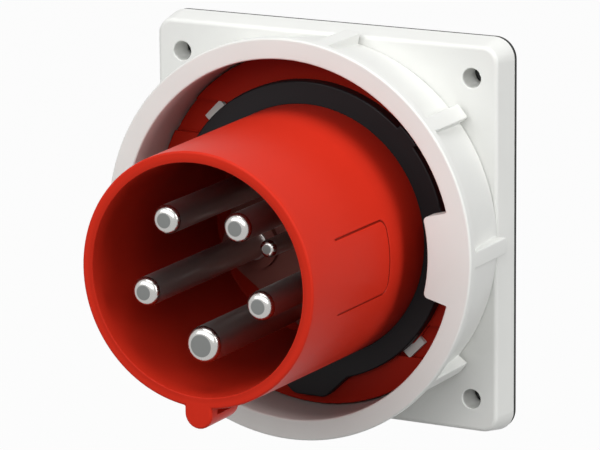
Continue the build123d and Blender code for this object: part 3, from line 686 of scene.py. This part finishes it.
def turned_pin(node, finish, tip, solid_round, rounding):
    """Merged copy of a pin's solid with a rounder tip: near the tip, what a point lacks to the
    pin's radius and to its end grows by the ratio of the rounding to the solid's."""
    mesh, places = merged_copy(node, node + "_turned")
    growth = rounding / solid_round
    near = -places[:, 1] > tip - solid_round - 0.01
    across = places[near][:, [0, 2]]
    middle = (across.min(0) + across.max(0)) / 2
    reach = np.linalg.norm(across - middle, axis=1, keepdims=True)
    drawn = np.maximum(reach.max() - (reach.max() - reach) * growth, 0)
    places[np.ix_(near, [0, 2])] = middle + (across - middle) * drawn / np.maximum(reach, 0.001)
    places[near, 1] = -tip + (tip + places[near, 1]) * growth
    move_points(mesh, places)
    stand_for(show(mesh, finish, sharp=32.0), "housing", node)


nickel = nickel_plated("nickel_plate", pin_tip, pin_round)
pilot_nickel = nickel_plated("nickel_plate_pilot", pilot_tip, pilot_round)
for node in ("pin_earth", "pin_neutral", "pin_l1", "pin_l2", "pin_l3"):
    turned_pin(node, nickel, pin_tip, pin_solid_round, pin_round)
turned_pin("pin_pilot", pilot_nickel, pilot_tip, pilot_solid_round, pilot_round)
dress(rubber, "phase_pin_seals", "earth_pin_seal", "pilot_pin_seal")


# Terminal block: the rear half of the insulator, a near-black thermoset, with a chamber for each
# wire. Slotted zinc-plated screws clamp the wires in the pins' ends.
rear_dark = moulded("dark_thermoset_rear", (0.06, 0.042, 0.038), 0.42, Specular_IOR_Level=0.3)
dress(rear_dark, "terminal_block")
dress(zinc, "terminal_screws", "pilot_screw")


# Studio: three soft lamps, a wide one in front and above, one overhead and a tall one from the
# right, over a pale floor. Floor and surroundings show white to the camera and in reflections,
# and the floor still takes the object's shadow.
studio_aim = Vector((0, -0.03, 0))
floor_level, floor_half, floor_grey, floor_white = -0.25, 6, (0.28, 0.28, 0.28, 1), 0.97
white, ambient_strength = (1, 1, 1, 1), 0.04


def softbox(name, place, size, power):
    """A rectangular lamp that faces the object, with its place and size in metres."""
    light = bpy.data.lights.new(name, "AREA")
    light.shape = "RECTANGLE"
    light.size, light.size_y = size
    light.energy = power
    lamp = bpy.data.objects.new(name, light)
    lamp.location = place
    lamp.rotation_euler = (studio_aim - Vector(place)).to_track_quat("-Z", "Y").to_euler()
    bpy.context.scene.collection.objects.link(lamp)


def seen_rays(nodes):
    """1 for a ray from the camera and for one that was mirrored or let through, else 0."""
    seen, mirrored, let_through = (nodes.node("ShaderNodeLightPath", output=ray) for ray in
                                   ("Is Camera Ray", "Is Glossy Ray", "Is Transmission Ray"))
    return seen + mirrored + let_through


softbox("softbox_front", (-0.02, -1.2, 0.68), (2.2, 0.75), 18.8)
softbox("softbox_overhead", (0.05, -0.23, 1.3), (1.0, 0.7), 8.6)
softbox("softbox_side", (1.2, -0.12, 0.45), (0.4, 0.8), 8.3)

pale = Finish("floor_pale", Base_Color=floor_grey, Roughness=0.9, Specular_IOR_Level=0.0)
lit = Field(pale, pale.surface.outputs[0])
glow = pale.node("ShaderNodeEmission", None, {"Color": white, "Strength": 1.0})
shown = pale.node("ShaderNodeMixShader", None, {0: seen_rays(pale) * floor_white, 1: lit, 2: glow})
pale.supply(pale.tree.nodes["Material Output"].inputs[0], shown)

mesh = bpy.data.meshes.new("floor")
mesh.from_pydata([(x * floor_half, y * floor_half, floor_level)
                  for x, y in ((-1, -1), (1, -1), (1, 1), (-1, 1))], [], [(0, 1, 2, 3)])
mesh.materials.append(pale.material)
floor = bpy.data.objects.new("floor", mesh)
bpy.context.scene.collection.objects.link(floor)

world = bpy.data.worlds.new("studio")
bpy.context.scene.world = world
world.use_nodes = True
world.node_tree.nodes.clear()
around = Nodes(world.node_tree)
ambient = around.node("ShaderNodeBackground", None, {"Color": white, "Strength": ambient_strength})
plain = around.node("ShaderNodeBackground", None, {"Color": white, "Strength": 1.0})
mixed = around.node("ShaderNodeMixShader", None, {0: seen_rays(around), 1: ambient, 2: plain})
around.node("ShaderNodeOutputWorld", None, {0: mixed})


# Camera: a long lens above and to the right of the axis, turned by half a degree, as fitted
# to the photograph.
azimuth, elevation, roll = radians(28.23), radians(13.35), radians(-0.509)
target, distance = Vector((3.36, -30.75, 4.42)) * MM, 1161.7 * MM
focal_length, sensor_width = 255.5, 36
back = Vector((sin(azimuth) * cos(elevation), -cos(azimuth) * cos(elevation), sin(elevation)))
right = Vector((cos(azimuth), sin(azimuth), 0))
tilted_right = cos(roll) * right + sin(roll) * back.cross(right)
turn = Matrix((tilted_right, back.cross(tilted_right), back)).transposed()
lens = bpy.data.cameras.new("camera")
lens.lens, lens.sensor_width, lens.clip_end = focal_length, sensor_width, 10
camera = bpy.data.objects.new("camera", lens)
camera.matrix_world = Matrix.Translation(target + back * distance) @ turn.to_4x4()
bpy.context.scene.collection.objects.link(camera)
bpy.context.scene.camera = camera
bpy.context.scene.view_settings.view_transform = "Standard"
